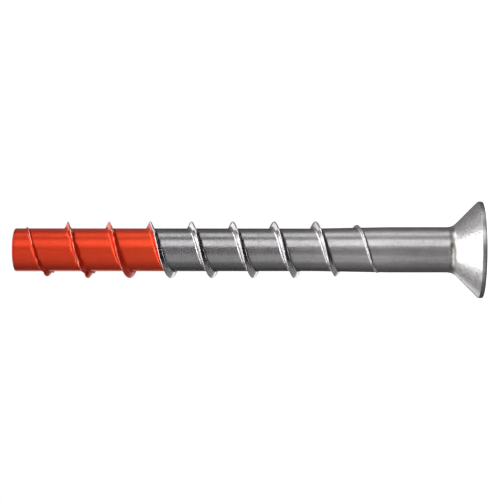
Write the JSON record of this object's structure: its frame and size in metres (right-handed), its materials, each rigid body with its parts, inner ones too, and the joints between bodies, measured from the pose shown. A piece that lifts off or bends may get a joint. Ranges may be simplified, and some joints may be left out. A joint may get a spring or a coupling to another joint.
{
  "type": "concrete screw",
  "caption": "Countersunk self-cutting concrete screw with a coarse helical thread ridge, saw-toothed and coated at its tip, and a lobed drive socket in its head.",
  "frame": {"origin": "centre of the flat face of the head, on the screw's axis", "axes": "+Z runs along the screw's axis from the head to the tip; +X and +Y lie in the face of the head, with one lobe of the socket on +X"},
  "size_m": [0.0206, 0.0206, 0.1],
  "materials": {
    "steel": "cold-formed and thread-rolled steel, red lacquer on the tip"
  },
  "bodies": {
    "root": {"screw": "steel"}
  },
  "joints": []
}
